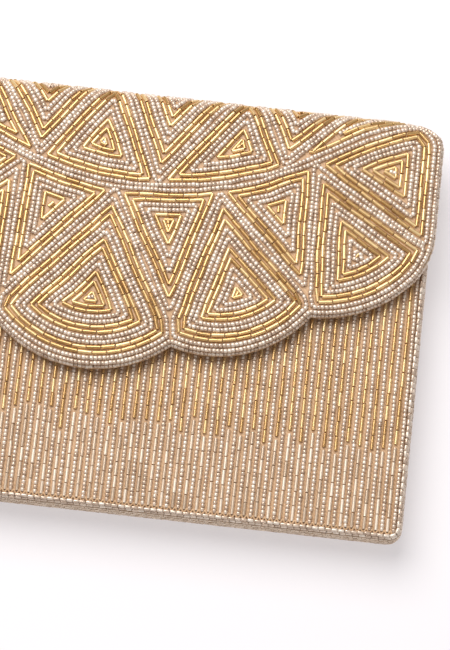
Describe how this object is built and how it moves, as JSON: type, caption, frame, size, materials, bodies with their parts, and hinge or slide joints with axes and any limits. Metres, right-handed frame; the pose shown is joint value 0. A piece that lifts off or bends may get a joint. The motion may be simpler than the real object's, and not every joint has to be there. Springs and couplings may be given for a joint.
{
  "type": "beaded envelope clutch",
  "caption": "Shallow rigid evening clutch with beaded panels, a beaded spine and a scalloped fold-over flap that closes on a hidden magnetic snap.",
  "frame": {"origin": "middle of the bag's outline on its resting face (the back panel)", "axes": "+X across the bag's width, +Y towards the fold at the top edge, +Z out of the front, through the flap"},
  "size_m": [0.2546, 0.165, 0.026],
  "materials": {
    "glass_beads": "silver and gold lined glass seed and bugle beads",
    "silver_beads": "silver lined glass seed beads",
    "satin": "satin",
    "lining": "satin lining",
    "board": "matte",
    "wadding": "felted",
    "snap_metal": "polished nickel",
    "magnet": "matte"
  },
  "bodies": {
    "pouch": {"back_beading": "glass_beads", "back_board": "board", "back_lining": "lining", "back_piping": "silver_beads", "back_shell": "satin", "bottom_gusset_beading": "glass_beads", "bottom_gusset_lining": "lining", "bottom_gusset_shell": "satin", "front_beading": "glass_beads", "front_board": "board", "front_lining": "lining", "front_piping": "silver_beads", "front_shell": "satin", "left_gusset_beading": "glass_beads", "left_gusset_lining": "lining", "left_gusset_shell": "satin", "mouth_binding": "satin", "right_gusset_beading": "glass_beads", "right_gusset_lining": "lining", "right_gusset_shell": "satin", "slip_pocket": "lining", "slip_pocket_binding": "satin", "snap_magnet": "magnet", "snap_socket_case": "snap_metal", "snap_socket_washer": "snap_metal"},
    "spine": {"spine_beading": "glass_beads", "spine_lining": "lining", "spine_shell": "satin"},
    "flap": {"flap_beading": "glass_beads", "flap_board": "board", "flap_lining": "lining", "flap_lip": "satin", "flap_outline_rows": "silver_beads", "flap_padding": "wadding", "flap_shell": "satin", "snap_stud": "snap_metal", "snap_stud_washer": "snap_metal"}
  },
  "joints": [
    {"name": "spine_fold", "type": "hinge", "parent": "pouch", "child": "spine", "pos_m": [0, 0.08074, 0.00176], "axis": [-1, 0, 0], "range_deg": [0, 88]},
    {"name": "flap_fold", "type": "hinge", "parent": "spine", "child": "flap", "pos_m": [0, 0.08074, 0.02424], "axis": [-1, 0, 0], "range_deg": [0, 88]}
  ],
  "couplings": [
    {"joint": "spine_fold", "follows": "flap_fold", "ratio": 1}
  ]
}
